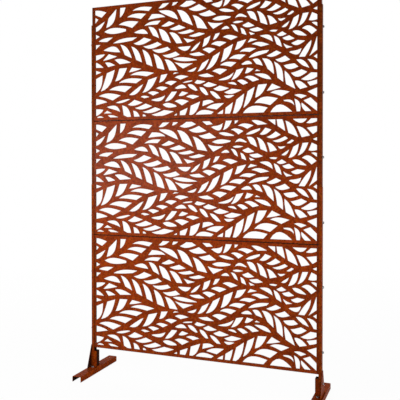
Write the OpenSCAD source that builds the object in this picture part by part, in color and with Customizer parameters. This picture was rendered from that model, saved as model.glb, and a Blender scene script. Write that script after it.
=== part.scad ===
// Free-standing laser-cut metal screen: three sheet panels with a leaf pattern,
// stacked one above the other between two channel posts on channel feet.
// Origin: on the floor, at mid-width and mid-depth. +X runs along the screen,
// -Y is its front and +Z is up. All sizes are in millimetres.

/* [Panels] */
// Width of a panel over its folded sides
panel_w = 1220; // [1100:10:1300]
// Height of one panel
panel_h = 605; // [560:5:650]
// Depth of the folded edges behind the face
panel_depth = 22; // [18:1:22]
// Thickness of the panel sheet
panel_t = 1.2; // [0.8:0.1:2]
// Bend radius outside, where the edges fold back from the face
panel_bend = 2.6; // [2.2:0.1:4]
// Gap between one panel and the next
seam_gap = 1; // [0.5:0.1:2]
// Height of the lowest panel edge above the floor
ground_gap = 130; // [125:5:180]

/* [Leaf pattern] */
// Plain border left and right of the pattern
side_border = 20; // [16:1:30]
// Plain border above and below the pattern
end_border = 17; // [10:1:25]
// Width of the web of metal between two leaves of one row, where they leave the stem
vein = 10; // [7:0.5:12]
// Straight pieces that draw each long side of a leaf
side_steps = 7; // [5:1:9]
// How far the fullest part of a leaf is moved towards its tip
fullness = 0.35; // [0:0.05:0.6]

/* [Posts] */
// Thickness of the post sheet
post_t = 1; // [0.8:0.1:1.5]
// Depth of the upper post section, front to back
post_depth = 25.5; // [25:0.5:30]
// Width of a post flange, which laps over the panel edge
post_flange = 14; // [12:0.5:16]
// Bend radius outside
post_bend = 2; // [1.6:0.1:3]
// Room between the panel edge and the inside of the upper post
edge_room = 3; // [2:0.5:5]
// Distance from the top of the screen down to the post ends
post_drop = 95; // [40:5:150]
// Height of the joint between the lower and the upper section
post_joint_z = 1004; // [960:2:1040]
// Length of the upper section inside the lower one
post_overlap = 190; // [185:5:240]
// Running clearance between the two sections
sleeve_fit = 0.1; // [0.05:0.05:0.3]

/* [Panel fasteners] */
// Height of the first fastener above the bottom of its panel
bolt_first = 102; // [80:1:130]
// Distance between the two fasteners on each side of a panel
bolt_pitch = 305; // [280:5:340]
// Thread diameter
bolt_d = 6; // [5:1:6]
// Width across the flats of the head and nut
hex_af = 10; // [9:0.5:12]
// Thickness of the bolt head
head_h = 4; // [3:0.5:5]
// Thickness of the nut
nut_h = 5.2; // [4:0.2:6]
// Thickness of the washer
washer_t = 1.6; // [1:0.1:2]
// Outer diameter of the washer
washer_d = 12; // [11:0.5:14]
// Thread that stands out of the nut
thread_end = 0.8; // [0.5:0.1:3]
// Clearance of a bolt hole over the thread
hole_fit = 0.6; // [0.4:0.1:1]

/* [Feet] */
// Length of a foot, front to back
foot_l = 372; // [300:2:450]
// Width of a foot
foot_w = 50; // [46:1:60]
// Height of a foot
foot_h = 27.5; // [22:0.5:35]
// Thickness of the foot sheet
foot_t = 2; // [1.5:0.1:3]
// How far the foot stands out past the outside of the post
foot_out = 9.5; // [6:0.5:12]
// Diameter of the anchor holes
anchor_d = 9; // [7:0.5:11]
// Distance from each foot end to its anchor hole
anchor_inset = 35; // [18:1:40]

/* [Brackets] */
// Sheet thickness of bracket and gusset
bracket_t = 2; // [1.5:0.1:3]
// Height of the socket above the foot
socket_h = 84; // [60:2:95]
// Width of the socket, across the screen
socket_w = 31; // [28:1:34]
// Clearance round the post in its socket
socket_fit = 0.2; // [0.1:0.1:0.6]
// Length of the bracket base, front to back
bracket_l = 92; // [84:2:110]
// Height of the gusset
gusset_h = 117; // [90:1:140]
// Length of the gusset along the foot
gusset_l = 114; // [90:2:140]
// Distance between the two foot bolts of a bracket
foot_bolt_pitch = 62; // [56:1:70]
// Thread diameter of the foot bolts
foot_bolt_d = 8; // [6:1:8]
// Width across the flats of the foot bolts
foot_bolt_af = 13; // [11:0.5:14]
// Thickness of a foot bolt's head
foot_head_h = 5.2; // [4:0.2:7]
// Thickness of a foot bolt's nut
foot_nut_h = 6.4; // [5:0.2:8]
// Height of the post bolt above the foot
post_bolt_z = 58; // [40:1:70]

/* [Hidden] */
$fn = 48;
LEFT = -1;
RIGHT = 1;
HEX = 6;
PAINT = [0.50, 0.19, 0.08];
PAINT_DARK = [0.42, 0.17, 0.09];
STEEL = [0.28, 0.28, 0.29];

panel_pitch = panel_h + seam_gap;
screen_top = ground_gap + 3 * panel_pitch - seam_gap;
post_top = screen_top - post_drop;
sleeve_grow = post_t + sleeve_fit;
// Outer faces of the post webs, measured from the middle of the screen
upper_web_x = panel_w / 2 + edge_room + post_t;
lower_web_x = upper_web_x + sleeve_grow;
lower_depth = post_depth + 2 * sleeve_grow;
socket_floor_z = foot_h + bracket_t;
gusset_x = lower_web_x + socket_fit;
foot_x = lower_web_x + foot_out - foot_w / 2;
bolt_hole_d = bolt_d + hole_fit;
foot_hole_d = foot_bolt_d + hole_fit;
bore_fit = 0.1;
// How far a cutting shape stands out past what it cuts
OVER = 1;

// The panel size that the leaf pattern is drawn for; it is stretched to any other
DRAWN_W = 1220;
DRAWN_H = 605;

// The leaf pattern. Each entry is one row of leaves on a panel, in millimetres from
// its lower left corner: [number of leaves, points of the stem edge that the leaves
// grow from, points of the line that their tips lie on, belly, hollow, room]. The
// points run from the foot of the row to its end, and a smooth curve joins them. Belly
// is how far the outer side of a leaf swells, as a share of its length, and hollow is
// the same for the inner side, where less than nothing curves inwards. Room is how much
// is added to a vein between two leaves; a row of one leaf has none.
leaf_rows = [
  // upper left
  [1, [[87, 572], [58, 547]], [[-8, 580]], 0.10, 0.02],
  [1, [[38, 538], [18, 516]], [[-8, 551]], 0.10, 0],
  [1, [[203, 600], [170, 600]], [[167, 538]], 0.12, 0],
  [1, [[147, 585], [100, 540]], [[86, 490]], 0.19, 0],
  [1, [[78, 526], [24, 497]], [[9, 474]], 0.16, 0],
  [3, [[362, 582], [306, 533], [232, 472]], [[240, 566], [209, 535], [160, 500]], 0.10, -0.04, 10],
  [1, [[203, 475], [203, 464]], [[74, 470]], 0.11, 0.09],
  [1, [[352, 539], [331, 512]], [[428, 518]], 0.10, -0.02],
  [1, [[402, 502], [384, 484]], [[309, 483]], 0.10, -0.02],
  [1, [[522, 379], [490, 380]], [[451, 438]], 0.17, 0],
  [1, [[459, 385], [414, 402]], [[392, 461]], 0.16, 0.03],
  [1, [[393, 414], [359, 430]], [[333, 476]], 0.19, 0],
  [1, [[529, 403], [550, 379]], [[590, 391]], -0.02, 0.02],
  [1, [[251, 453], [262, 449]], [[331, 441]], 0.24, 0.02],
  [1, [[508, 322], [485, 339]], [[413, 326]], 0.15, -0.05],
  [1, [[457, 352], [440, 366]], [[355, 357]], 0.16, -0.04],
  [1, [[408, 381], [384, 395]], [[303, 378]], 0.15, -0.04],
  [1, [[350, 409], [307, 423]], [[247, 397]], 0.14, -0.05],
  [1, [[267, 427], [240, 413]], [[127, 406]], 0.08, 0.02],
  [1, [[126, 437], [91, 416]], [[40, 422]], 0.08, 0.02],
  [1, [[14, 431], [14, 463]], [[46, 447]], 0, 0],
  [1, [[10, 369], [10, 404]], [[50, 403]], 0, 0],
  // middle left
  [5, [[509, 242], [437, 247], [369, 266], [309, 291], [250, 316], [184, 346]],
    [[425, 303], [298, 362], [170, 396]], 0.15, -0.01, 18],
  [1, [[69, 373], [82, 369]], [[169, 357]], 0.25, 0.02],
  [1, [[150, 335], [101, 351]], [[66, 318]], 0.02, 0],
  [3, [[246, 300], [152, 293], [83, 281], [4, 284]], [[136, 319], [79, 307], [5, 312]], 0.10, 0, 18],
  [1, [[8, 318], [8, 346]], [[78, 351]], 0.08, 0.03],
  [1, [[292, 263], [238, 272]], [[221, 249]], 0.03, 0.02],
  [3, [[223, 273], [150, 271], [76, 247], [-10, 208]],
    [[139, 206], [52, 156], [20, 148]], 0.16, -0.02, 18],
  [1, [[10, 242], [10, 271]], [[56, 257]], 0, 0],
  [4, [[379, 243], [309, 218], [249, 182], [184, 138], [111, 99]],
    [[228, 233], [160, 196], [103, 161], [40, 131]], 0.10, -0.03, 20],
  [1, [[8, 119], [8, 81]], [[92, 98]], 0.05, 0],
  [1, [[440, 229], [404, 225]], [[393, 187]], 0.15, -0.03],
  [1, [[382, 217], [332, 204]], [[298, 139]], 0.15, -0.04],
  [1, [[303, 183], [286, 176]], [[222, 131]], 0.19, 0.01],
  [1, [[227, 108], [213, 110]], [[143, 93]], 0.09, 0.03],
  // lower left
  [1, [[5, 20], [5, 63]], [[68, 58]], 0.09, 0.03],
  [1, [[118, 39], [90, 53]], [[71, 39]], 0, 0],
  [1, [[78, 12], [70, 10]], [[24, 12]], 0.24, 0],
  [1, [[168, 12], [122, 8]], [[95, 28]], 0.08, 0],
  [1, [[89, 73], [103, 66]], [[168, 45]], 0.24, -0.02],
  [1, [[324, 6], [300, 8]], [[300, 27]], 0.20, 0],
  [1, [[287, 2], [252, 2]], [[244, 48]], 0.18, -0.02],
  [1, [[234, 6], [189, 27]], [[180, 78]], 0.18, 0],
  [4, [[484, 36], [412, 47], [362, 65], [308, 86], [243, 107]],
    [[350, 25], [300, 41], [255, 62], [213, 81]], 0.11, -0.03, 8],
  [5, [[566, 213], [501, 193], [451, 164], [403, 140], [349, 118], [299, 108]],
    [[480, 208], [376, 158], [288, 118]], 0.12, -0.03, 12],
  [1, [[349, 99], [357, 103]], [[428, 121]], 0.23, -0.04],
  [1, [[493, 137], [464, 137]], [[426, 89]], 0.14, 0.02],
  [1, [[554, 128], [521, 136]], [[502, 115]], 0.10, 0.04],
  [1, [[491, 61], [486, 68]], [[413, 74]], 0.13, 0.13],
  [2, [[625, 112], [568, 92], [509, 60]], [[542, 108], [480, 88]], 0.12, -0.03, 15],
  [1, [[492, 27], [492, 10]], [[470, 14]], 0, 0],
  [1, [[630, 58], [634, 84]], [[691, 77]], 0, 0.13],
  [1, [[618, 82], [568, 63]], [[559, 12]], 0.16, 0],
  [1, [[551, 53], [509, 36]], [[505, -8]], 0.14, -0.02],
  [1, [[744, 69], [706, 39]], [[651, 49]], 0.09, 0],
  [1, [[690, 28], [650, -6]], [[590, 12]], 0.19, 0],
  [1, [[737, 10], [740, 37]], [[705, 12]], 0, 0.06],
  // lower right
  [1, [[790, 72], [752, 46]], [[746, -12]], 0.12, 0],
  [1, [[847, 112], [808, 84]], [[787, 8]], 0.16, 0],
  [1, [[900, 142], [865, 122]], [[843, 42]], 0.11, 0],
  [1, [[961, 153], [918, 151]], [[903, 89]], 0.12, 0.03],
  [1, [[1028, 133], [986, 153]], [[960, 120]], 0.03, 0],
  [1, [[1071, 111], [1032, 91]], [[977, 110]], 0.11, -0.03],
  [1, [[1014, 82], [977, 51]], [[899, 63]], 0.17, -0.05],
  [1, [[964, 40], [938, 10]], [[838, 13]], 0.19, -0.02],
  [1, [[1093, 8], [1060, 6]], [[973, 10]], 0.35, 0],
  [1, [[1041, 72], [1046, 67]], [[1093, 45]], 0.27, -0.11],
  [1, [[1119, 8], [1106, 8]], [[1094, 77]], 0.22, -0.01],
  [1, [[1150, 12], [1178, 12]], [[1128, 57]], 0.14, 0.02],
  [1, [[1152, 88], [1126, 77]], [[1094, 94]], 0.10, 0],
  [1, [[1137, 67], [1170, 80]], [[1420, -160]], 0, 0],
  [1, [[1230, 136], [1230, 62]], [[1156, 108]], 0, 0],
  // middle
  [1, [[727, 92], [706, 93]], [[670, 131]], 0.13, 0.07],
  [1, [[662, 113], [649, 112]], [[615, 153]], 0.17, 0.10],
  [1, [[605, 138], [595, 136]], [[551, 169]], 0.18, 0.10],
  [1, [[481, 154], [495, 150]], [[545, 153]], 0.26, 0],
  [4, [[842, 129], [777, 139], [714, 158], [655, 179], [594, 191]],
    [[745, 122], [688, 142], [634, 163], [588, 177]], 0.14, -0.01, 5],
  [1, [[798, 106], [784, 107]], [[744, 106]], 0.24, 0],
  [1, [[764, 167], [770, 164]], [[810, 155]], 0.19, 0.02],
  [1, [[867, 162], [842, 154]], [[812, 175]], 0.17, 0],
  [1, [[922, 175], [890, 167]], [[849, 190]], 0.16, -0.05],
  [1, [[900, 204], [905, 200]], [[982, 174]], 0.16, 0.06],
  [1, [[928, 217], [910, 225]], [[901, 217]], 0, 0],
  [1, [[713, 183], [722, 187]], [[794, 217]], 0.20, -0.05],
  [1, [[894, 229], [862, 236]], [[851, 209]], 0.11, 0],
  [1, [[844, 235], [808, 228]], [[781, 180]], 0.13, -0.02],
  [1, [[692, 203], [656, 220]], [[609, 213]], 0.08, 0],
  [5, [[984, 342], [918, 331], [864, 306], [817, 271], [770, 238], [713, 204]],
    [[884, 347], [770, 284], [683, 228]], 0.13, -0.04, 14],
  [4, [[869, 376], [801, 361], [734, 328], [676, 296], [618, 266]],
    [[799, 326], [727, 271], [649, 237], [604, 231]], 0.15, -0.02, 14],
  [1, [[549, 236], [557, 239]], [[599, 254]], 0.24, 0],
  [1, [[603, 289], [596, 292]], [[469, 304]], 0.07, 0.07],
  [1, [[580, 274], [526, 251]], [[480, 285]], -0.03, 0.01],
  [1, [[503, 231], [480, 234]], [[469, 225]], 0, 0],
  [1, [[577, 189], [573, 184]], [[523, 180]], 0.05, 0.04],
  [3, [[826, 392], [768, 371], [710, 343], [656, 312]],
    [[737, 393], [676, 362], [631, 338]], 0.13, -0.03, 15],
  [1, [[643, 312], [612, 328]], [[560, 322]], 0.09, 0],
  [1, [[913, 368], [880, 376]], [[865, 357]], 0, 0.03],
  [1, [[497, 359], [510, 361]], [[568, 361]], 0.29, 0],
  [1, [[722, 415], [699, 412]], [[686, 383]], 0.14, 0],
  [1, [[673, 405], [640, 391]], [[630, 352]], 0.17, -0.02],
  [1, [[620, 379], [594, 364]], [[567, 335]], 0.15, 0.03],
  // upper middle
  [4, [[657, 414], [599, 429], [552, 450], [492, 477], [436, 500]],
    [[557, 413], [498, 433], [452, 456], [406, 474]], 0.10, -0.01, 16],
  [1, [[656, 440], [603, 449]], [[578, 514]], 0.13, -0.03],
  [1, [[579, 463], [523, 490]], [[494, 548]], 0.17, -0.01],
  [1, [[392, 553], [404, 543]], [[499, 500]], 0.20, 0.02],
  [1, [[740, 463], [688, 437]], [[658, 474]], -0.05, 0.03],
  [3, [[710, 502], [660, 536], [604, 571], [548, 602]],
    [[611, 518], [557, 548], [508, 567]], 0.12, -0.03, 8],
  [1, [[780, 490], [774, 484]], [[682, 485]], 0.10, 0.09],
  [1, [[797, 514], [790, 519]], [[717, 529]], 0.09, 0.09],
  [1, [[457, 594], [428, 604]], [[390, 566]], 0.13, -0.02],
  [1, [[503, 592], [478, 600]], [[466, 572]], 0.10, 0.04],
  [1, [[685, 573], [652, 570]], [[628, 590]], 0.19, 0],
  [1, [[677, 559], [688, 563]], [[737, 577]], 0.45, -0.08],
  [1, [[824, 600], [799, 600]], [[799, 572]], 0.10, 0],
  [1, [[789, 600], [757, 603]], [[739, 543]], 0.14, -0.02],
  [2, [[904, 567], [853, 542], [809, 514]], [[815, 562], [780, 544]], 0.13, -0.07, 12],
  [1, [[962, 567], [915, 564]], [[885, 586]], 0.09, 0.02],
  [1, [[1002, 600], [1002, 561]], [[953, 598]], 0, 0],
  // upper right
  [3, [[1176, 511], [1120, 499], [1057, 527], [1006, 562]],
    [[1105, 553], [1051, 581], [1003, 622]], 0.13, 0, 8],
  [1, [[1080, 593], [1090, 600]], [[1157, 593]], 0.31, 0],
  [1, [[1215, 582], [1185, 602]], [[1150, 568]], 0.10, -0.03],
  [1, [[1153, 545], [1181, 515]], [[1240, 553]], 0.03, 0],
  [1, [[1212, 484], [1212, 505]], [[1182, 492]], 0.08, 0],
  [1, [[928, 548], [925, 538]], [[856, 520]], 0.06, 0.09],
  [1, [[1092, 486], [1082, 491]], [[1058, 474]], 0.14, 0.02],
  [1, [[1063, 497], [1049, 507]], [[989, 487]], 0.15, -0.05],
  [1, [[1028, 515], [1004, 531]], [[959, 505]], 0.14, -0.05],
  [1, [[983, 540], [953, 550]], [[925, 519]], 0.16, -0.03],
  [1, [[861, 482], [855, 480]], [[800, 481]], 0.29, -0.09],
  [1, [[1010, 442], [976, 434]], [[961, 479]], 0.12, -0.03],
  [1, [[963, 434], [929, 448]], [[911, 505]], 0.15, -0.03],
  [1, [[912, 457], [880, 474]], [[861, 507]], 0.25, 0],
  [1, [[1051, 459], [1045, 460]], [[1014, 461]], 0.33, -0.08],
  [1, [[729, 432], [738, 431]], [[772, 432]], 0.31, 0],
  [1, [[858, 394], [835, 403]], [[828, 431]], 0.16, 0],
  [1, [[816, 412], [798, 422]], [[779, 450]], 0.22, -0.02],
  [1, [[843, 461], [836, 463]], [[789, 460]], 0.10, 0.09],
  [2, [[950, 409], [906, 431], [860, 460]], [[873, 421], [838, 443]], 0.15, 0, 8],
  [1, [[901, 396], [880, 392]], [[871, 407]], 0.03, 0],
  [1, [[1012, 406], [1004, 399]], [[973, 405]], 0.07, 0.07],
  [1, [[1144, 346], [1109, 351]], [[1078, 339]], 0.21, 0],
  [2, [[1100, 356], [1062, 380], [1028, 401]], [[1036, 367], [1009, 384]], 0.17, 0, 4],
  [1, [[1068, 297], [1076, 301]], [[1127, 312]], 0.36, -0.05],
  [1, [[1143, 271], [1115, 272]], [[1173, 346]], 0.08, 0.05],
  [1, [[1240, 330], [1199, 362]], [[1163, 272]], 0, -0.03],
  [1, [[1215, 249], [1215, 290]], [[1184, 270]], 0, 0],
  [1, [[1222, 206], [1187, 211]], [[1155, 259]], 0.15, -0.03],
  [1, [[1164, 218], [1136, 229]], [[1103, 260]], 0.18, 0.04],
  [1, [[1225, 192], [1172, 196]], [[1125, 167]], 0.15, -0.02],
  [1, [[1154, 200], [1127, 213]], [[1077, 199]], 0.26, -0.03],
  [1, [[1113, 227], [1093, 243]], [[1042, 236]], 0.21, 0.02],
  [1, [[1073, 262], [1049, 282]], [[1002, 267]], 0.17, -0.04],
  [1, [[1031, 297], [1006, 309]], [[959, 287]], 0.14, -0.01],
  [1, [[1154, 152], [1168, 134]], [[1232, 168]], 0, 0.10],
  [1, [[972, 314], [960, 302]], [[869, 283]], 0.11, 0.02],
  [1, [[1155, 129], [1121, 121]], [[1096, 161]], 0.13, 0.08],
  [1, [[1098, 123], [1054, 147]], [[1047, 211]], 0.08, 0.03],
  [1, [[1040, 158], [1012, 180]], [[995, 257]], 0.17, -0.03],
  [1, [[995, 198], [964, 225]], [[937, 276]], 0.25, -0.02],
  [1, [[940, 241], [908, 251]], [[890, 274]], 0.26, 0],
  [1, [[832, 254], [842, 251]], [[888, 253]], 0.27, 0],
  [1, [[925, 385], [932, 381]], [[990, 352]], 0.28, -0.02],
  [1, [[1033, 324], [1008, 338]], [[995, 379]], 0.16, 0.03],
  [1, [[1085, 321], [1056, 316]], [[1041, 341]], -0.06, 0.07],
  [1, [[1225, 452], [1176, 475]], [[1161, 440]], 0.11, 0],
  [1, [[1160, 476], [1133, 474]], [[1110, 415]], 0.13, -0.03],
  [1, [[1115, 471], [1089, 457]], [[1066, 404]], 0.20, -0.01],
  [1, [[1069, 444], [1055, 435]], [[1032, 418]], 0.24, 0.03],
  [1, [[1152, 369], [1143, 369]], [[1085, 395]], 0.14, 0.13],
  [1, [[1198, 390], [1175, 373]], [[1129, 404]], 0.24, -0.08],
  [1, [[1225, 404], [1212, 400]], [[1174, 428]], 0.16, 0]
];

// ---- leaf pattern ----

// Product of the numbers in a list
function product(v, i = 0) = i < len(v) ? v[i] * product(v, i + 1) : 1;

// Weight of point i of n on a smooth curve through evenly spaced points
function weight(i, n, t) =
  product([for (j = [0 : n - 1]) if (j != i) (t * (n - 1) - j) / (i - j)]);

// Point at t, from 0 to 1, on the smooth curve through the points
function on_curve(pts, t) =
  len(pts) == 1 ? pts[0] : [for (i = [0 : len(pts) - 1]) weight(i, len(pts), t)] * pts;

function unit(v) = v / norm(v);
function side_of(v) = [v[1], -v[0]];

// Points of a bowed side from a to b, without its last point; bow is a share of its
// length, and the fullest place is nearer b
function bowed(a, b, bow) =
  [for (i = [0 : side_steps - 1])
    let (t = i / side_steps, swell = 4 * t * (1 - t) * (1 + fullness * (2 * t - 1)))
    a + (b - a) * t + side_of(b - a) * bow * swell];

function reversed(v) = [for (i = [len(v) - 1 : -1 : 0]) v[i]];

// Outline of leaf k of a row
function leaf(row, k) =
  let (
    n = row[0],
    a = on_curve(row[1], k / n),
    b = on_curve(row[1], (k + 1) / n),
    tip = on_curve(row[2], n == 1 ? 0 : k / (n - 1)),
    along = unit(b - a),
    out = tip - (a + b) / 2,
    trim = n == 1 ? 0 : (vein + row[5]) / 2,
    near = a + along * trim,
    far = b - along * trim,
    turn = sign(along[0] * out[1] - along[1] * out[0])
  )
  concat(
    bowed(near, tip, -turn * row[3]),
    [tip],
    reversed(bowed(far, tip, turn * row[4])));

// Outline stretched from the drawn panel size to the real one
function fitted(outline) =
  [for (p = outline) [p[0] * panel_w / DRAWN_W, p[1] * panel_h / DRAWN_H]];

// The part of the panel face that the pattern fills
module pattern_window() {
  translate([side_border, end_border])
    square([panel_w - 2 * side_border, panel_h - 2 * end_border]);
}

// All the leaf openings of a panel, from its lower left corner
module leaf_openings() {
  for (row = leaf_rows)
    for (k = [0 : row[0] - 1])
      intersection() {
        pattern_window();
        polygon(fitted(leaf(row, k)));
      }
}

// ---- pieces ----

// Stands a flat drawing up, so that its height runs along +Z and its face looks
// along -Y
module upright(thickness) {
  rotate([90, 0, 0])
    mirror([0, 0, 1])
      linear_extrude(thickness)
        children();
}

// Copies at the two fastener heights of one panel
module at_panel_bolts() {
  for (z = [bolt_first, bolt_first + bolt_pitch])
    translate([0, 0, z]) children();
}

// Section of a folded sheet's outside: l long and d deep, its two front corners,
// along y = 0, rounded by the bend
module fold_section(l, d, bend) {
  translate([bend, 0]) square([l - 2 * bend, d]);
  translate([0, bend]) square([l, d - bend]);
  for (x = [bend, l - bend])
    translate([x, bend]) circle(r = bend);
}

// Block with a flat front at y = 0, whose four front edges are rounded by the bend
module folded_block(w, h, d, bend) {
  intersection() {
    linear_extrude(h) fold_section(w, d, bend);
    translate([w, 0, 0])
      rotate([0, -90, 0])
        linear_extrude(w) fold_section(h, d, bend);
  }
}

// One sheet panel with its four folded edges, from its lower left corner
module panel() {
  color(PAINT)
    translate([-panel_w / 2, -panel_depth / 2, 0])
      difference() {
        folded_block(panel_w, panel_h, panel_depth, panel_bend);
        translate([panel_t, panel_t, panel_t])
          folded_block(
            panel_w - 2 * panel_t, panel_h - 2 * panel_t, panel_depth, panel_bend - panel_t);
        translate([0, -OVER, 0])
          upright(panel_t + 2 * OVER) leaf_openings();
        at_panel_bolts()
          translate([-OVER, panel_depth / 2, 0])
            rotate([0, 90, 0])
              cylinder(d = bolt_hole_d, h = panel_w + 2 * OVER);
      }
}

module lower_panel() {
  translate([0, 0, ground_gap]) panel();
}

module middle_panel() {
  translate([0, 0, ground_gap + panel_pitch]) panel();
}

module upper_panel() {
  translate([0, 0, ground_gap + 2 * panel_pitch]) panel();
}

// Rectangle with round corners; its back edge lies at x = 0 and it is centred on y
module rounded_plate(l, w, r) {
  translate([r, -w / 2]) square([l - 2 * r, w]);
  translate([0, r - w / 2]) square([l, w - 2 * r]);
  for (x = [r, l - r])
    for (y = [r - w / 2, w / 2 - r])
      translate([x, y]) circle(r = r);
}

// Outline of a folded channel with its web at x = 0 and its open side towards +x
module channel_outline(depth, width, t, r) {
  intersection() {
    difference() {
      rounded_plate(2 * width, depth, r);
      translate([t, 0]) rounded_plate(2 * width - 2 * t, depth - 2 * t, r - t);
    }
    translate([0, -depth / 2]) square([width, depth]);
  }
}

// Moves a piece drawn for the right side, with +x outwards, to the given side
module on_side(side) {
  if (side == RIGHT) children();
  else mirror([1, 0, 0]) children();
}

// Heights of all the panel fasteners
function bolt_heights() =
  [for (i = [0 : 2]) for (j = [0 : 1]) ground_gap + i * panel_pitch + bolt_first + j * bolt_pitch];

// A post section of the right side from z0 to z1, with holes for its fasteners
module post_section(web_x, depth, flange, z0, z1) {
  difference() {
    translate([web_x, 0, z0])
      mirror([1, 0, 0])
        linear_extrude(z1 - z0)
          channel_outline(depth, flange, post_t, post_bend);
    for (z = bolt_heights())
      if (z > z0 && z < z1)
        translate([web_x - 2 * post_bend, 0, z])
          rotate([0, 90, 0])
            cylinder(d = bolt_hole_d, h = 4 * post_bend);
  }
}

module post_lower(side) {
  color(PAINT_DARK)
    on_side(side)
      difference() {
        post_section(lower_web_x, lower_depth, post_flange + sleeve_grow, socket_floor_z, post_joint_z);
        translate([lower_web_x - 2 * post_bend, 0, foot_h + post_bolt_z])
          rotate([0, 90, 0])
            cylinder(d = bolt_hole_d, h = 4 * post_bend);
      }
}

module post_upper(side) {
  color(PAINT_DARK)
    on_side(side)
      post_section(upper_web_x, post_depth, post_flange, post_joint_z - post_overlap, post_top);
}

module left_post_lower() { post_lower(LEFT); }
module right_post_lower() { post_lower(RIGHT); }
module left_post_upper() { post_upper(LEFT); }
module right_post_upper() { post_upper(RIGHT); }

// Copies at the front and back foot bolts of the right bracket
module at_foot_bolts() {
  for (y = [-1, 1])
    translate([gusset_x - socket_w / 2, y * foot_bolt_pitch / 2, 0]) children();
}

// Channel foot, open below and at both ends, with its anchor and bracket holes
module foot(side) {
  color(PAINT_DARK)
    on_side(side)
      difference() {
        translate([foot_x, foot_l / 2, foot_h])
          rotate([90, 0, 0])
            linear_extrude(foot_l)
              rotate(-90)
                channel_outline(foot_w, foot_h, foot_t, foot_t + 1);
        for (y = [-1, 1])
          translate([foot_x, y * (foot_l / 2 - anchor_inset), foot_h - 2 * foot_t])
            cylinder(d = anchor_d, h = 4 * foot_t);
        at_foot_bolts()
          translate([0, 0, foot_h - 2 * foot_t])
            cylinder(d = foot_hole_d, h = 4 * foot_t);
      }
}

module left_foot() { foot(LEFT); }
module right_foot() { foot(RIGHT); }

// Folded bracket: a base on the foot and a three-sided socket round the post end
module bracket(side) {
  color(PAINT_DARK)
    on_side(side)
      difference() {
        union() {
          translate([gusset_x - socket_w, -bracket_l / 2, foot_h])
            cube([socket_w, bracket_l, bracket_t]);
          translate([gusset_x - socket_w, 0, foot_h])
            linear_extrude(socket_h)
              channel_outline(
                lower_depth + 2 * socket_fit + 2 * bracket_t, socket_w, bracket_t, bracket_t + 1);
        }
        at_foot_bolts()
          translate([0, 0, foot_h - OVER])
            cylinder(d = foot_hole_d, h = bracket_t + 2 * OVER);
      }
}

module left_bracket() { bracket(LEFT); }
module right_bracket() { bracket(RIGHT); }

// Upright plate on the outer side, wide at the foot and narrow at the top
module gusset(side) {
  color(PAINT_DARK)
    on_side(side)
      difference() {
        translate([gusset_x, 0, foot_h])
          rotate([90, 0, 90])
            linear_extrude(bracket_t)
              polygon([
                [-gusset_l / 2, 0],
                [gusset_l / 2, 0],
                [lower_depth / 2, gusset_h],
                [-lower_depth / 2, gusset_h]
              ]);
        translate([gusset_x - OVER, 0, foot_h + post_bolt_z])
          rotate([0, 90, 0])
            cylinder(d = bolt_hole_d, h = bracket_t + 2 * OVER);
      }
}

module left_gusset() { gusset(LEFT); }
module right_gusset() { gusset(RIGHT); }

// Six-sided prism that stands on z = 0
module hex(af, h) {
  cylinder(r = af / 2 / cos(30), h = h, $fn = HEX);
}

// Hex bolt: its head lies below z = 0 and its thread runs up from there
module hex_bolt(d, af, head, length) {
  translate([0, 0, -head]) hex(af, head);
  translate([0, 0, -OVER]) cylinder(d = d, h = length + OVER);
}

// Hex nut that stands on z = 0
module hex_nut(d, af, h) {
  difference() {
    hex(af, h);
    translate([0, 0, -OVER]) cylinder(d = d + 2 * bore_fit, h = h + 2 * OVER);
  }
}

// Flat ring that stands on z = 0
module ring(inner, outer, h) {
  difference() {
    cylinder(d = outer, h = h);
    translate([0, 0, -OVER]) cylinder(d = inner, h = h + 2 * OVER);
  }
}

// Outer face of the post at a height: the lower section is the outer one
function web_face(z) = z < post_joint_z ? lower_web_x : upper_web_x;

// Inner face of the post at a height: the upper section is the inner one
function web_inside(z) = z > post_joint_z - post_overlap ? upper_web_x - post_t : lower_web_x - post_t;

// Places a piece at x and z with its own z axis turned outwards
module outward(x, z) {
  translate([x, 0, z]) rotate([0, 90, 0]) children();
}

module panel_bolts(side) {
  inside = panel_w / 2 - panel_t;
  color(STEEL)
    on_side(side)
      for (z = bolt_heights())
        outward(inside, z)
          hex_bolt(bolt_d, hex_af, head_h, web_face(z) + washer_t + nut_h + thread_end - inside);
}

module panel_nuts(side) {
  color(STEEL)
    on_side(side)
      for (z = bolt_heights())
        outward(web_face(z) + washer_t, z) hex_nut(bolt_d, hex_af, nut_h);
}

module panel_washers(side) {
  color(STEEL)
    on_side(side)
      for (z = bolt_heights())
        outward(web_face(z), z) ring(bolt_hole_d, washer_d, washer_t);
}

module spacers(side) {
  color(STEEL)
    on_side(side)
      for (z = bolt_heights())
        outward(panel_w / 2, z) ring(bolt_hole_d, washer_d, web_inside(z) - panel_w / 2);
}

module left_panel_bolts() { panel_bolts(LEFT); }
module right_panel_bolts() { panel_bolts(RIGHT); }
module left_panel_nuts() { panel_nuts(LEFT); }
module right_panel_nuts() { panel_nuts(RIGHT); }
module left_panel_washers() { panel_washers(LEFT); }
module right_panel_washers() { panel_washers(RIGHT); }
module left_spacers() { spacers(LEFT); }
module right_spacers() { spacers(RIGHT); }

// Bolts that hold the bracket down, heads on top
module foot_bolts(side) {
  color(STEEL)
    on_side(side)
      at_foot_bolts()
        translate([0, 0, foot_h + bracket_t])
          mirror([0, 0, 1])
            hex_bolt(foot_bolt_d, foot_bolt_af, foot_head_h,
              bracket_t + foot_t + foot_nut_h + thread_end);
}

module foot_nuts(side) {
  color(STEEL)
    on_side(side)
      at_foot_bolts()
        translate([0, 0, foot_h - foot_t])
          mirror([0, 0, 1])
            hex_nut(foot_bolt_d, foot_bolt_af, foot_nut_h);
}

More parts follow.
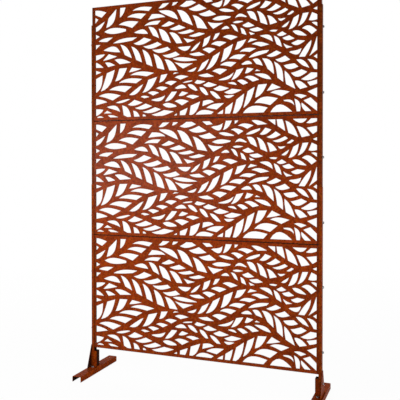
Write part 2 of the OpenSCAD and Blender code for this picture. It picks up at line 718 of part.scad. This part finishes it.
// Bolt through the gusset and the web of the post, head outside
module post_bolt(side) {
  color(STEEL)
    on_side(side)
      outward(gusset_x + bracket_t, foot_h + post_bolt_z)
        mirror([0, 0, 1])
          hex_bolt(bolt_d, hex_af, head_h, bracket_t + socket_fit + post_t + nut_h + thread_end);
}

module post_nut(side) {
  color(STEEL)
    on_side(side)
      outward(lower_web_x - post_t, foot_h + post_bolt_z)
        mirror([0, 0, 1])
          hex_nut(bolt_d, hex_af, nut_h);
}

module left_foot_bolts() { foot_bolts(LEFT); }
module right_foot_bolts() { foot_bolts(RIGHT); }
module left_foot_nuts() { foot_nuts(LEFT); }
module right_foot_nuts() { foot_nuts(RIGHT); }
module left_post_bolt() { post_bolt(LEFT); }
module right_post_bolt() { post_bolt(RIGHT); }
module left_post_nut() { post_nut(LEFT); }
module right_post_nut() { post_nut(RIGHT); }

lower_panel();
middle_panel();
upper_panel();
left_post_lower();
right_post_lower();
left_post_upper();
right_post_upper();
left_foot();
right_foot();
left_bracket();
right_bracket();
left_gusset();
right_gusset();
left_panel_bolts();
right_panel_bolts();
left_panel_nuts();
right_panel_nuts();
left_panel_washers();
right_panel_washers();
left_spacers();
right_spacers();
left_foot_bolts();
right_foot_bolts();
left_foot_nuts();
right_foot_nuts();
left_post_bolt();
right_post_bolt();
left_post_nut();
right_post_nut();
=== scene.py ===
import math

import bpy
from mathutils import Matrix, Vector


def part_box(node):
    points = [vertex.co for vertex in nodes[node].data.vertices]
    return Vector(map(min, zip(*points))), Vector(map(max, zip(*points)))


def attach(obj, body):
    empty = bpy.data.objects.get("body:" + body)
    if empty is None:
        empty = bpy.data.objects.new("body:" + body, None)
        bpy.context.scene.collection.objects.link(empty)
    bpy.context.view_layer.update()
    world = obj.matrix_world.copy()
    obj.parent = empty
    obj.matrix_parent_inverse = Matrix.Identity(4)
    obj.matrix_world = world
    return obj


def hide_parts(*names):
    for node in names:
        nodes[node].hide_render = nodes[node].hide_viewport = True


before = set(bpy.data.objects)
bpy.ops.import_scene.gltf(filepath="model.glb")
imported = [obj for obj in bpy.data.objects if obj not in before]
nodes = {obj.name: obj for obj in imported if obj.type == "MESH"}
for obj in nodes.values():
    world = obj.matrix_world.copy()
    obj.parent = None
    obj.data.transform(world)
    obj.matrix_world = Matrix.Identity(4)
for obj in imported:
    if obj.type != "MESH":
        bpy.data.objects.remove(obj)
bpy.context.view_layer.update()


# ---- Panels -------------------------------------------------------------------------
# Each panel is one sheet of 1.2 mm steel. The leaves are cut out by laser, the four
# edges are folded back on a press, and the whole is then coated in a mottled paint that
# imitates rusted steel: orange-brown with umber patches, fine grain and a low sheen.

def linear(red, green, blue):
    """A paint colour picked as 0 to 255 display values, as the shader wants it."""
    def one(value):
        value = value / 255
        return value / 12.92 if value <= 0.04045 else ((value + 0.055) / 1.055) ** 2.4
    return one(red), one(green), one(blue), 1.0


class Finish:
    """A material made node by node around one Principled shader."""

    def __init__(self, name):
        self.material = bpy.data.materials.new(name)
        self.material.use_nodes = True
        self.tree = self.material.node_tree
        self.shader = self.tree.nodes["Principled BSDF"]
        self.where = self.add("ShaderNodeTexCoord")

    def add(self, kind, **settings):
        """A new node with these settings."""
        made = self.tree.nodes.new(kind)
        for key, value in settings.items():
            setattr(made, key, value)
        return made

    def join(self, out, into):
        self.tree.links.new(out, into)

    def feed(self, socket, value):
        """Links or writes a value into a socket."""
        if isinstance(value, bpy.types.NodeSocket):
            self.join(value, socket)
        else:
            socket.default_value = value

    def noise(self, per_metre, detail=3.0, roughness=0.55, stretch=(1, 1, 1), shift=0.0):
        """Cloudy values from 0 to 1, with about that many clouds in a metre."""
        made = self.add("ShaderNodeTexNoise")
        made.inputs["Scale"].default_value = per_metre
        made.inputs["Detail"].default_value = detail
        made.inputs["Roughness"].default_value = roughness
        mapping = self.add("ShaderNodeMapping")
        mapping.inputs["Location"].default_value = (shift, shift, shift)
        mapping.inputs["Scale"].default_value = stretch
        self.join(self.where.outputs["Object"], mapping.inputs["Vector"])
        self.join(mapping.outputs["Vector"], made.inputs["Vector"])
        return made.outputs["Fac"]

    def along(self, output, axis):
        """One coordinate of where a point lies, or of which way it faces."""
        parts = self.add("ShaderNodeSeparateXYZ")
        self.join(self.where.outputs[output], parts.inputs[0])
        return parts.outputs[axis]

    def spread(self, value, low, high, to_low=0.0, to_high=1.0):
        """The range low to high of a value, stretched to another range and held there."""
        made = self.add("ShaderNodeMapRange", clamp=True)
        self.join(value, made.inputs["Value"])
        for key, number in (("From Min", low), ("From Max", high),
                            ("To Min", to_low), ("To Max", to_high)):
            made.inputs[key].default_value = number
        return made.outputs["Result"]

    def reckon(self, operation, first, second=0.0):
        """One step of arithmetic on values or sockets."""
        made = self.add("ShaderNodeMath", operation=operation)
        self.feed(made.inputs[0], first)
        self.feed(made.inputs[1], second)
        return made.outputs[0]

    def blend(self, factor, first, second):
        """A mix of two colours."""
        made = self.add("ShaderNodeMix", data_type="RGBA")
        self.feed(made.inputs["Factor"], factor)
        self.feed(made.inputs["A"], first)
        self.feed(made.inputs["B"], second)
        return made.outputs["Result"]

    def bump(self, height, depth, strength=1.0, under=None):
        """Relief of that many metres, on top of any relief under it."""
        made = self.add("ShaderNodeBump")
        made.inputs["Distance"].default_value = depth
        made.inputs["Strength"].default_value = strength
        self.join(height, made.inputs["Height"])
        if under:
            self.join(under, made.inputs["Normal"])
        return made.outputs["Normal"]


def rust_coat(name, tones, shift, gloss_level, cut_edge=None, shaded_seams=(), flange_shadow_from=None,
              shaded_hollow=None):
    """The mottled coat: orange, brown and umber with ochre and rose specks.

    Shift moves the clouds, so that no two parts match. The rest are marks that only some
    parts have. The sides of the laser cuts in front of a given y are painted darker. Painted
    shade lies along the given seam heights, and the painted shadow of the post flanges lies
    on the panels from a given distance from the middle outwards. Inside a given box the
    steel is painted near black, as shade.
    """
    orange, brown, umber = tones
    coat = Finish(name)
    clouds = coat.noise(per_metre=7, detail=2, shift=shift)
    runs = coat.noise(per_metre=30, detail=4, stretch=(1, 1, 0.12), shift=shift + 6)
    mottle = coat.noise(per_metre=38, detail=6, roughness=0.7, shift=shift + 3)
    ochre = coat.noise(per_metre=90, detail=5, roughness=0.72, shift=shift + 8)
    rose = coat.noise(per_metre=100, detail=5, roughness=0.72, shift=shift + 11)
    freckles = coat.noise(per_metre=120, detail=5, roughness=0.72, shift=shift + 5)
    grain = coat.noise(per_metre=620, detail=2, shift=shift)

    # Layer on layer: where it begins to show, where it shows fully, and how well it covers
    colour = coat.blend(coat.spread(clouds, 0.38, 0.62), orange, brown)
    for layer, begins, full, cover, tone in (
            (ochre, 0.46, 0.64, 0.90, linear(148, 76, 3)),
            (rose, 0.50, 0.66, 0.80, linear(152, 58, 36)),
            (mottle, 0.46, 0.68, 0.75, umber),
            (runs, 0.54, 0.76, 0.35, umber),
            (freckles, 0.46, 0.62, 0.90, umber),
            (grain, 0.35, 0.65, 0.25, umber)):
        colour = coat.blend(coat.spread(layer, begins, full, 0, cover), colour, tone)

    # The sides of the laser cuts through the front sheet are painted darker.
    if cut_edge is not None:
        facing = coat.reckon("ABSOLUTE", coat.along("Normal", "Y"))
        sideways = coat.spread(facing, 0.3, 0.5, 1, 0)
        in_sheet = coat.spread(coat.along("Object", "Y"), cut_edge, cut_edge + 0.0002, 1, 0)
        darkened_cut_sides = coat.reckon("MULTIPLY", coat.reckon("MULTIPLY", sideways, in_sheet), 0.75)
        colour = coat.blend(darkened_cut_sides, colour, linear(44, 24, 16))
    # Painted shade: a near-black line along each seam between panels, where shade falls in the
    # groove.
    for height in shaded_seams:
        away = coat.reckon("ABSOLUTE",
                           coat.reckon("SUBTRACT", coat.along("Object", "Z"), height))
        colour = coat.blend(coat.spread(away, 0.0010, 0.0024, 0.95, 0), colour,
                            linear(14, 6, 4))
    # Painted shadow: the panel's border beside and under the post flanges is painted darker, as
    # the flanges' shadow.
    if flange_shadow_from is not None:
        outwards = coat.reckon("ABSOLUTE", coat.along("Object", "X"))
        colour = coat.blend(coat.spread(outwards, flange_shadow_from, flange_shadow_from + 0.002, 0, 0.35), colour,
                            linear(40, 18, 9))
    # Painted shade: inside the box the steel is painted near black, where shade falls in the
    # hollow.
    if shaded_hollow is not None:
        inside = 1.0
        for axis, low, high in zip("XYZ", *shaded_hollow):
            centre, half = (low + high) / 2, (high - low) / 2
            away = coat.reckon("ABSOLUTE",
                               coat.reckon("SUBTRACT", coat.along("Object", axis), centre))
            inside = coat.reckon("MULTIPLY", coat.spread(away, half, half + 0.0001, 1, 0),
                                 inside)
        colour = coat.blend(coat.reckon("MULTIPLY", inside, 0.9), colour, linear(20, 12, 9))
    coat.join(colour, coat.shader.inputs["Base Color"])

    dullness = coat.reckon("ADD", coat.spread(clouds, 0.35, 0.65, 0.18, 0.26),
                           coat.spread(freckles, 0.35, 0.65, 0.02, 0.20))
    coat.join(dullness, coat.shader.inputs["Roughness"])
    coat.shader.inputs["Specular IOR Level"].default_value = gloss_level
    relief = coat.bump(mottle, depth=0.0004, strength=0.3)
    relief = coat.bump(freckles, depth=0.0002, strength=0.35, under=relief)
    relief = coat.bump(grain, depth=0.00012, strength=0.5, under=relief)
    coat.join(relief, coat.shader.inputs["Normal"])
    return coat.material


def dress(name, material):
    """Gives a CAD node its finish."""
    for slot in nodes[name].material_slots:
        slot.material = material


panel_sheet = 0.0012
panel_tones = (linear(154, 51, 0), linear(134, 42, 0), linear(93, 28, 1))
# The painted shadow of the post flanges begins this far to each side of the middle.
flange_shadow_x = 0.590
stack = ("lower_panel", "middle_panel", "upper_panel")
# Each panel gets painted shade along the seams it shares with its neighbours, and the painted
# shadow of the post flanges on its border.
for count, name in enumerate(stack):
    low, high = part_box(name)
    shaded_seams = ([low[2]] if count > 0 else []) + ([high[2]] if count < 2 else [])
    dress(name, rust_coat(name + "_coat", panel_tones, shift=10 * count, gloss_level=0.05,
                          cut_edge=low[1] + panel_sheet, shaded_seams=shaded_seams,
                          flange_shadow_from=flange_shadow_x))


# ---- Posts --------------------------------------------------------------------------
# Channels folded from 1 mm sheet, open towards the panels, two to a side. The lower one
# is the sleeve that the upper one slides into. Their coat is browner than the panels',
# and inside they are painted near black, as shade.

def inside_of(name, skin, open_sides):
    """The inside of a folded part, as the lowest and the highest corner of a box.

    It lies a skin deep behind each closed side, and runs a metre out of each open one.
    """
    low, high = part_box(name)
    return ([value + (-1 if "-" + axis in open_sides else skin)
             for axis, value in zip("xyz", low)],
            [value - (-1 if "+" + axis in open_sides else skin)
             for axis, value in zip("xyz", high)])


sleeve_tones = (linear(152, 55, 3), linear(128, 45, 4), linear(84, 31, 7))
upper_post_tones = (linear(138, 51, 4), linear(116, 43, 5), linear(75, 30, 8))
post_skin = 0.0008
# Each channel's inside is given a box of painted shade.
for name, tones, shift, to_panels in (("left_post_lower", sleeve_tones, 40, "+x"),
                                      ("left_post_upper", upper_post_tones, 50, "+x"),
                                      ("right_post_lower", sleeve_tones, 60, "-x"),
                                      ("right_post_upper", upper_post_tones, 70, "-x")):
    dress(name, rust_coat(name + "_coat", tones, shift, gloss_level=0.01,
                          shaded_hollow=inside_of(name, post_skin, (to_panels, "-z", "+z"))))


# ---- Feet ---------------------------------------------------------------------------
# One channel under each post, folded from 2 mm sheet, open below and at both ends. It is
# drilled for its anchors and for the bracket's bolts, and coated dull. Inside it is
# painted near black, as shade.

heavy_tones = (linear(160, 57, 1), linear(136, 46, 3), linear(84, 30, 6))
heavy_gloss = 0.004
heavy_skin = 0.0016
for name, shift in (("left_foot", 90), ("right_foot", 100)):
    dress(name, rust_coat(name + "_coat", heavy_tones, shift, heavy_gloss,
                          shaded_hollow=inside_of(name, heavy_skin, ("-y", "+y", "-z"))))


# ---- Brackets -----------------------------------------------------------------------
# A base plate and a three-sided socket of the same 2 mm sheet, open towards the panels.
# Two bolts hold each bracket on its foot, and the post stands in the socket.

# The inside of the socket is this wide to each side, and begins this high above the foot
socket_half = 0.0144
socket_floor = 0.0025
# Inside the socket the steel is painted near black, as shade.
for name, shift, to_panels in (("left_bracket", 110, "+x"), ("right_bracket", 120, "-x")):
    shaded_hollow_low, shaded_hollow_high = inside_of(name, heavy_skin, (to_panels, "+z"))
    shaded_hollow_low[1:] = [-socket_half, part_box(name)[0][2] + socket_floor]
    shaded_hollow_high[1] = socket_half
    dress(name, rust_coat(name + "_coat", heavy_tones, shift, heavy_gloss,
                          shaded_hollow=(shaded_hollow_low, shaded_hollow_high)))


# ---- Gussets ------------------------------------------------------------------------
# Tapered plates of the same sheet, which stand on the feet on the outer side of each
# bracket and are bolted to the post. The side towards the panels is painted near black,
# as shade.

gusset_skin = 0.001
for name, shift, to_panels in (("left_gusset", 130, "+x"), ("right_gusset", 140, "-x")):
    dress(name, rust_coat(name + "_coat", heavy_tones, shift, heavy_gloss,
                          shaded_hollow=inside_of(name, gusset_skin,
                                           (to_panels, "-y", "+y", "-z", "+z"))))


# ---- Nuts and bolts -----------------------------------------------------------------
# Hex bolts, nuts, washers and spacer rings of zinc-plated steel, dulled by the weather,
# with chamfered corners and a cut thread. M6 ones hold the panels and gussets to the
# posts, and M8 ones the brackets to the feet.

ring_points = 48
m6 = {"thread": 0.006, "pitch": 0.001, "flats": 0.010, "head": 0.004, "nut": 0.0052}
m8 = {"thread": 0.008, "pitch": 0.00125, "flats": 0.013, "head": 0.0052, "nut": 0.0064}
# Each bolt's tip stands this far out of its nut
thread_end = 0.0008
bolt_hole = 0.0066
washer = {"outer": 0.012, "thick": 0.0016}
# The round end of a head or nut is this share of its flats wide, and the six corners
# fall away from it at this slope
crown = 0.95
corner_slope = 0.58

steel = Finish("zinc_plated_steel")
patches = steel.noise(per_metre=260, detail=4)
stain = steel.noise(per_metre=120, detail=3, shift=4)
plating = steel.blend(patches, linear(158, 159, 162), linear(104, 105, 109))
steel.join(steel.blend(steel.spread(stain, 0.58, 0.70, 0, 0.5), plating, linear(96, 62, 44)),
           steel.shader.inputs["Base Color"])
steel.join(steel.spread(patches, 0.3, 0.7, 0.30, 0.50), steel.shader.inputs["Roughness"])
steel.join(steel.bump(patches, depth=0.0001, strength=0.4), steel.shader.inputs["Normal"])
steel.shader.inputs["Metallic"].default_value = 0.9


def round_ring(radius, height):
    return [(radius, height)] * ring_points


def hex_ring(flats, height, slope=0.0):
    """Points round a hexagon, whose corners fall away along the axis by that slope."""
    sixth = math.radians(60)
    radii = [flats / 2 / math.cos((math.tau * step / ring_points) % sixth - sixth / 2)
             for step in range(ring_points)]
    return [(radius, height + slope * (radius - crown * flats / 2)) for radius in radii]


def hex_head(size):
    """The head, from its crown to its seat at height 0."""
    top = -size["head"]
    return [round_ring(crown * size["flats"] / 2, top),
            hex_ring(size["flats"], top, corner_slope),
            hex_ring(size["flats"], 0), round_ring(size["thread"] / 2, 0)]


def threaded_shank(size, length, turns=3):
    """A plain shank and the last turns of the thread, up to the bevelled tip."""
    crest = size["thread"] / 2
    root = crest - 0.55 * size["pitch"]
    rings = []
    for turn in range(turns, 0, -1):
        rings += [round_ring(crest, length - (turn + 0.25) * size["pitch"]),
                  round_ring(root, length - (turn - 0.25) * size["pitch"])]
    return rings + [round_ring(crest - 0.1 * size["pitch"], length - 0.4 * size["pitch"]),
                    round_ring(root, length)]


def hex_nut(size):
    """A nut from its seat at height 0, with both ends chamfered and a through bore."""
    bore = size["thread"] / 2 + 0.0001
    face = crown * size["flats"] / 2
    return [round_ring(bore, 0), round_ring(face, 0),
            hex_ring(size["flats"], 0, corner_slope),
            hex_ring(size["flats"], size["nut"], -corner_slope),
            round_ring(face, size["nut"]), round_ring(bore, size["nut"])]


def flat_ring(outer, thick):
    """A washer or spacer from its seat at height 0, with its outer edges rounded."""
    soft = 0.12 * min(thick, 0.002)
    return [round_ring(bolt_hole / 2, 0), round_ring(outer / 2 - soft, 0),
            round_ring(outer / 2, soft), round_ring(outer / 2, thick - soft),
            round_ring(outer / 2 - soft, thick), round_ring(bolt_hole / 2, thick)]


class Hardware:
    """All the fasteners of one CAD node as one mesh, turned ring by ring."""

    def __init__(self, node):
        self.node = node
        self.points = []
        self.faces = []

    def turn(self, rings, seat, direction, capped=False):
        """Joins rings of radius and height; capped closes the ends, else it is a tube."""
        axis = Vector(direction)
        across = Vector((0, 0, 1)) if axis.x else Vector((1, 0, 0))
        beside = axis.cross(across)
        start = len(self.points)
        for one in rings:
            for step, (radius, height) in enumerate(one):
                angle = math.tau * step / ring_points
                self.points.append(Vector(seat) + axis * height
                                   + across * radius * math.cos(angle)
                                   + beside * radius * math.sin(angle))
        for row in range(len(rings) - 1 if capped else len(rings)):
            here = start + row * ring_points
            above = start + (row + 1) % len(rings) * ring_points
            for step in range(ring_points):
                after = (step + 1) % ring_points
                self.faces.append((here + step, here + after, above + after, above + step))
        if capped:
            last = start + (len(rings) - 1) * ring_points
            self.faces.append(tuple(range(start + ring_points - 1, start - 1, -1)))
            self.faces.append(tuple(range(last, last + ring_points)))

    def place(self):
        mesh = bpy.data.meshes.new(self.node + "_turned")
        mesh.from_pydata(self.points, [], self.faces)
        mesh.materials.append(steel.material)
        made = bpy.data.objects.new(self.node + "_turned", mesh)
        bpy.context.scene.collection.objects.link(made)
        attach(made, "root")
        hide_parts(self.node)


# Heights of the panel bolts above each panel's lower edge, the distance of the foot
# bolts in front of and behind the post, and the height of the post's bolt above the foot
bolt_heights = (0.102, 0.407)
foot_bolt_reach = 0.031
post_bolt_up = 0.058
post_sheet = 0.001
plate = 0.002

panel_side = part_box("right_spacers")[0][0]
lower_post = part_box("right_post_lower")
upper_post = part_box("right_post_upper")
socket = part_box("right_bracket")
foot_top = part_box("right_foot")[1][2]
gusset_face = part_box("right_gusset")[1][0]

for side, sign in (("left", -1), ("right", 1)):
    outward, inward, down = (sign, 0, 0), (-sign, 0, 0), (0, 0, -1)

    bolts, nuts = Hardware(side + "_panel_bolts"), Hardware(side + "_panel_nuts")
    washers, spacers = Hardware(side + "_panel_washers"), Hardware(side + "_spacers")
    for panel in stack:
        for up in bolt_heights:
            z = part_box(panel)[0][2] + up
            web = (lower_post if z < lower_post[1][2] else upper_post)[1][0]
            web_inside = (upper_post if z > upper_post[0][2] else lower_post)[1][0] - post_sheet
            seat = panel_side - panel_sheet
            tip = web + washer["thick"] + m6["nut"] + thread_end
            bolts.turn(hex_head(m6) + threaded_shank(m6, tip - seat), (sign * seat, 0, z),
                       outward, capped=True)
            washers.turn(flat_ring(washer["outer"], washer["thick"]), (sign * web, 0, z),
                         outward)
            nuts.turn(hex_nut(m6), (sign * (web + washer["thick"]), 0, z), outward)
            spacers.turn(flat_ring(washer["outer"], web_inside - panel_side),
                         (sign * panel_side, 0, z), outward)

    foot_bolts, foot_nuts = Hardware(side + "_foot_bolts"), Hardware(side + "_foot_nuts")
    x = sign * (socket[0][0] + socket[1][0]) / 2
    for y in (-foot_bolt_reach, foot_bolt_reach):
        foot_bolts.turn(hex_head(m8) + threaded_shank(m8, 2 * plate + m8["nut"] + thread_end),
                        (x, y, foot_top + plate), down, capped=True)
        foot_nuts.turn(hex_nut(m8), (x, y, foot_top - plate), down)

    post_bolt, post_nut = Hardware(side + "_post_bolt"), Hardware(side + "_post_nut")
    z = foot_top + post_bolt_up
    web_inside = lower_post[1][0] - post_sheet
    grip = gusset_face - web_inside
    post_bolt.turn(hex_head(m6) + threaded_shank(m6, grip + m6["nut"] + thread_end),
                   (sign * gusset_face, 0, z), inward, capped=True)
    post_nut.turn(hex_nut(m6), (sign * web_inside, 0, z), inward)

    for group in (bolts, nuts, washers, spacers, foot_bolts, foot_nuts, post_bolt, post_nut):
        group.place()


# ---- Floor --------------------------------------------------------------------------
# A plain pale studio floor that runs out into the white background. It lies a hair
# below the feet and keeps a trace of their shadow.

def seen_directly(tree):
    """1 for what the camera, a gloss or a glass sees, 0 for the light on things."""
    ray = tree.nodes.new("ShaderNodeLightPath")
    seen = ray.outputs["Is Camera Ray"]
    for kind in ("Is Glossy Ray", "Is Transmission Ray"):
        larger = tree.nodes.new("ShaderNodeMath")
        larger.operation = "MAXIMUM"
        tree.links.new(seen, larger.inputs[0])
        tree.links.new(ray.outputs[kind], larger.inputs[1])
        seen = larger.outputs[0]
    return seen


floor_reach = 9.0
floor_level = -0.0005
floor_corners = 72
floor_mesh = bpy.data.meshes.new("floor")
turns = [math.tau * corner / floor_corners for corner in range(floor_corners)]
floor_mesh.from_pydata([(floor_reach * math.cos(turn), floor_reach * math.sin(turn), floor_level)
                        for turn in turns], [], [list(range(floor_corners))])
floor = bpy.data.objects.new("floor", floor_mesh)
bpy.context.scene.collection.objects.link(floor)
white = Finish("floor_white")
white.shader.inputs["Base Color"].default_value = (0.78, 0.78, 0.78, 1)
white.shader.inputs["Roughness"].default_value = 0.9
white.shader.inputs["Specular IOR Level"].default_value = 0.0
glow = white.add("ShaderNodeEmission")
glow.inputs["Strength"].default_value = 1.0
outwards = white.add("ShaderNodeVectorMath", operation="LENGTH")
white.join(white.where.outputs["Object"], outwards.inputs[0])
share = white.reckon("MULTIPLY", seen_directly(white.tree),
                     white.spread(outwards.outputs["Value"], 1.0, 4.0, 0.96, 1.0))
both = white.add("ShaderNodeMixShader")
white.join(share, both.inputs[0])
white.join(white.shader.outputs[0], both.inputs[1])
white.join(glow.outputs[0], both.inputs[2])
white.join(both.outputs[0], white.tree.nodes["Material Output"].inputs["Surface"])
floor_mesh.materials.append(white.material)


# ---- Light --------------------------------------------------------------------------
# A white room, a wide soft box near the front left, whose sheen lies on the middle panel,
# two weak ones with a narrow beam from the right, and a large one for the back.

world = bpy.data.worlds.new("studio")
world.use_nodes = True
bpy.context.scene.world = world
sky = world.node_tree
ambient = sky.nodes["Background"]
ambient.inputs["Color"].default_value = (1, 1, 1, 1)
ambient.inputs["Strength"].default_value = 0.32
backdrop = sky.nodes.new("ShaderNodeBackground")
backdrop.inputs["Color"].default_value = (1, 1, 1, 1)
backdrop.inputs["Strength"].default_value = 1.0
either = sky.nodes.new("ShaderNodeMixShader")
sky.links.new(seen_directly(sky), either.inputs[0])
sky.links.new(ambient.outputs[0], either.inputs[1])
sky.links.new(backdrop.outputs[0], either.inputs[2])
sky.links.new(either.outputs[0], sky.nodes["World Output"].inputs["Surface"])


def soft_lamp(name, place, target, width, height, power, beam=180):
    """A soft box at a place, turned to face a target, with a beam that many degrees wide."""
    lamp = bpy.data.lights.new(name, "AREA")
    lamp.shape = "RECTANGLE"
    lamp.size = width
    lamp.size_y = height
    lamp.energy = power
    lamp.spread = math.radians(beam)
    made = bpy.data.objects.new(name, lamp)
    bpy.context.scene.collection.objects.link(made)
    made.location = place
    made.rotation_euler = (Vector(place) - Vector(target)).to_track_quat("Z", "Y").to_euler()
    made.visible_camera = False


soft_lamp("near_softbox", (-1.08, -1.43, 1.13), (-0.33, -0.011, 1.13), 1.25, 0.65, 19)
soft_lamp("right_softbox", (1.3, -3.0, 0.6), (-0.1, 0, 0.8), 1.0, 0.6, 3.6, beam=50)
soft_lamp("side_softbox", (3.2, -0.6, 1.2), (0.6, 0, 0.9), 2.0, 1.8, 9, beam=70)
soft_lamp("rear_softbox", (-1.3, 2.9, 2.3), (0, 0, 0.9), 2.4, 2.0, 80)


# ---- Camera -------------------------------------------------------------------------
# Stands in front of the screen, to the right and a little above mid-height, and looks
# to the left, as in the photograph.

view = bpy.data.cameras.new("camera")
view.sensor_width = 36
view.lens = 55.06
view.shift_y = -0.0646
camera = bpy.data.objects.new("camera", view)
bpy.context.scene.collection.objects.link(camera)
camera.location = (1.1101, -2.8578, 1.0992)
camera.rotation_euler = (math.radians(90 - 0.707), 0, math.radians(21.167))
bpy.context.scene.camera = camera
bpy.context.scene.view_settings.view_transform = "Standard"
